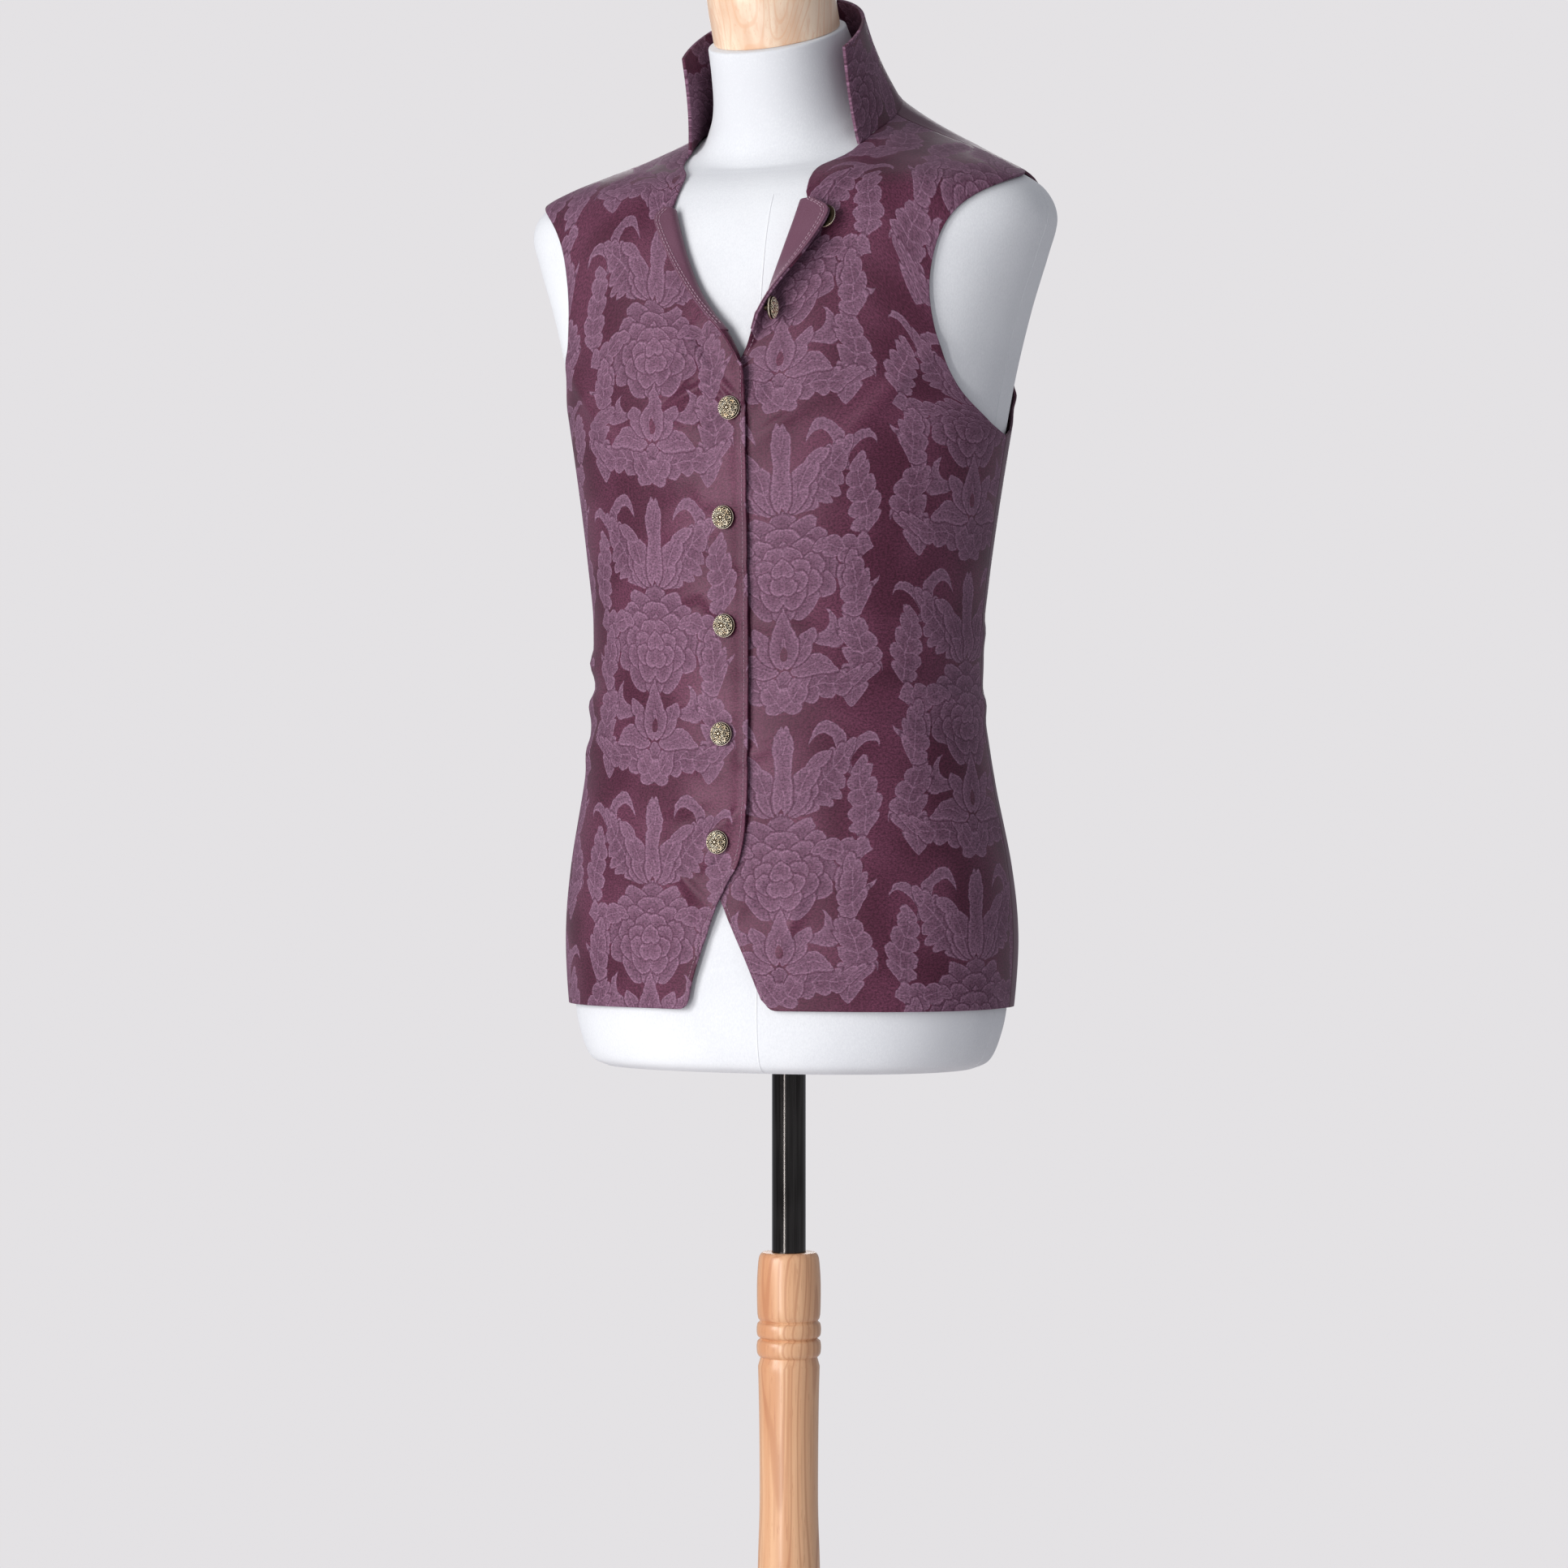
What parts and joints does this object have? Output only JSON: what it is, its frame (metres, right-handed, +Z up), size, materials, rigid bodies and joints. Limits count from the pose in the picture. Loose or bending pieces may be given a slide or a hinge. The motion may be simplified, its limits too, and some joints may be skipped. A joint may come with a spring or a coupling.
{
  "type": "damask waistcoat on a dress form stand",
  "caption": "Plum damask waistcoat with a tall stand collar and domed brass buttons, worn on a white dress form with a turned beech post",
  "frame": {"origin": "centre of the underside of the round foot, on the floor", "axes": "+Z up; the front faces -Y; +X is the wearer's left"},
  "size_m": [0.412, 0.38, 1.5717],
  "materials": {
    "damask": "plum damask, satin ground with a lighter matt floral figure",
    "facing_satin": "plain plum satin with a stitched edge",
    "back_satin": "plain plum satin",
    "button_brass": "pierced and domed, antiqued",
    "form_cover": "tight white jersey cover",
    "beech": "turned and clear satin varnished",
    "dark_steel": "dark polished"
  },
  "bodies": {
    "root": {"front_left": "damask", "front_right": "damask", "facing_left": "facing_satin", "facing_right": "facing_satin", "back_left": "back_satin", "back_right": "back_satin", "collar": "damask", "button_1": "button_brass", "button_2": "button_brass", "button_3": "button_brass", "button_4": "button_brass", "button_5": "button_brass", "button_6": "button_brass", "button_7": "button_brass", "form_torso": "form_cover", "form_neck": "beech", "stand_rod": "dark_steel", "stand_post": "beech", "stand_base": "beech"}
  },
  "joints": []
}
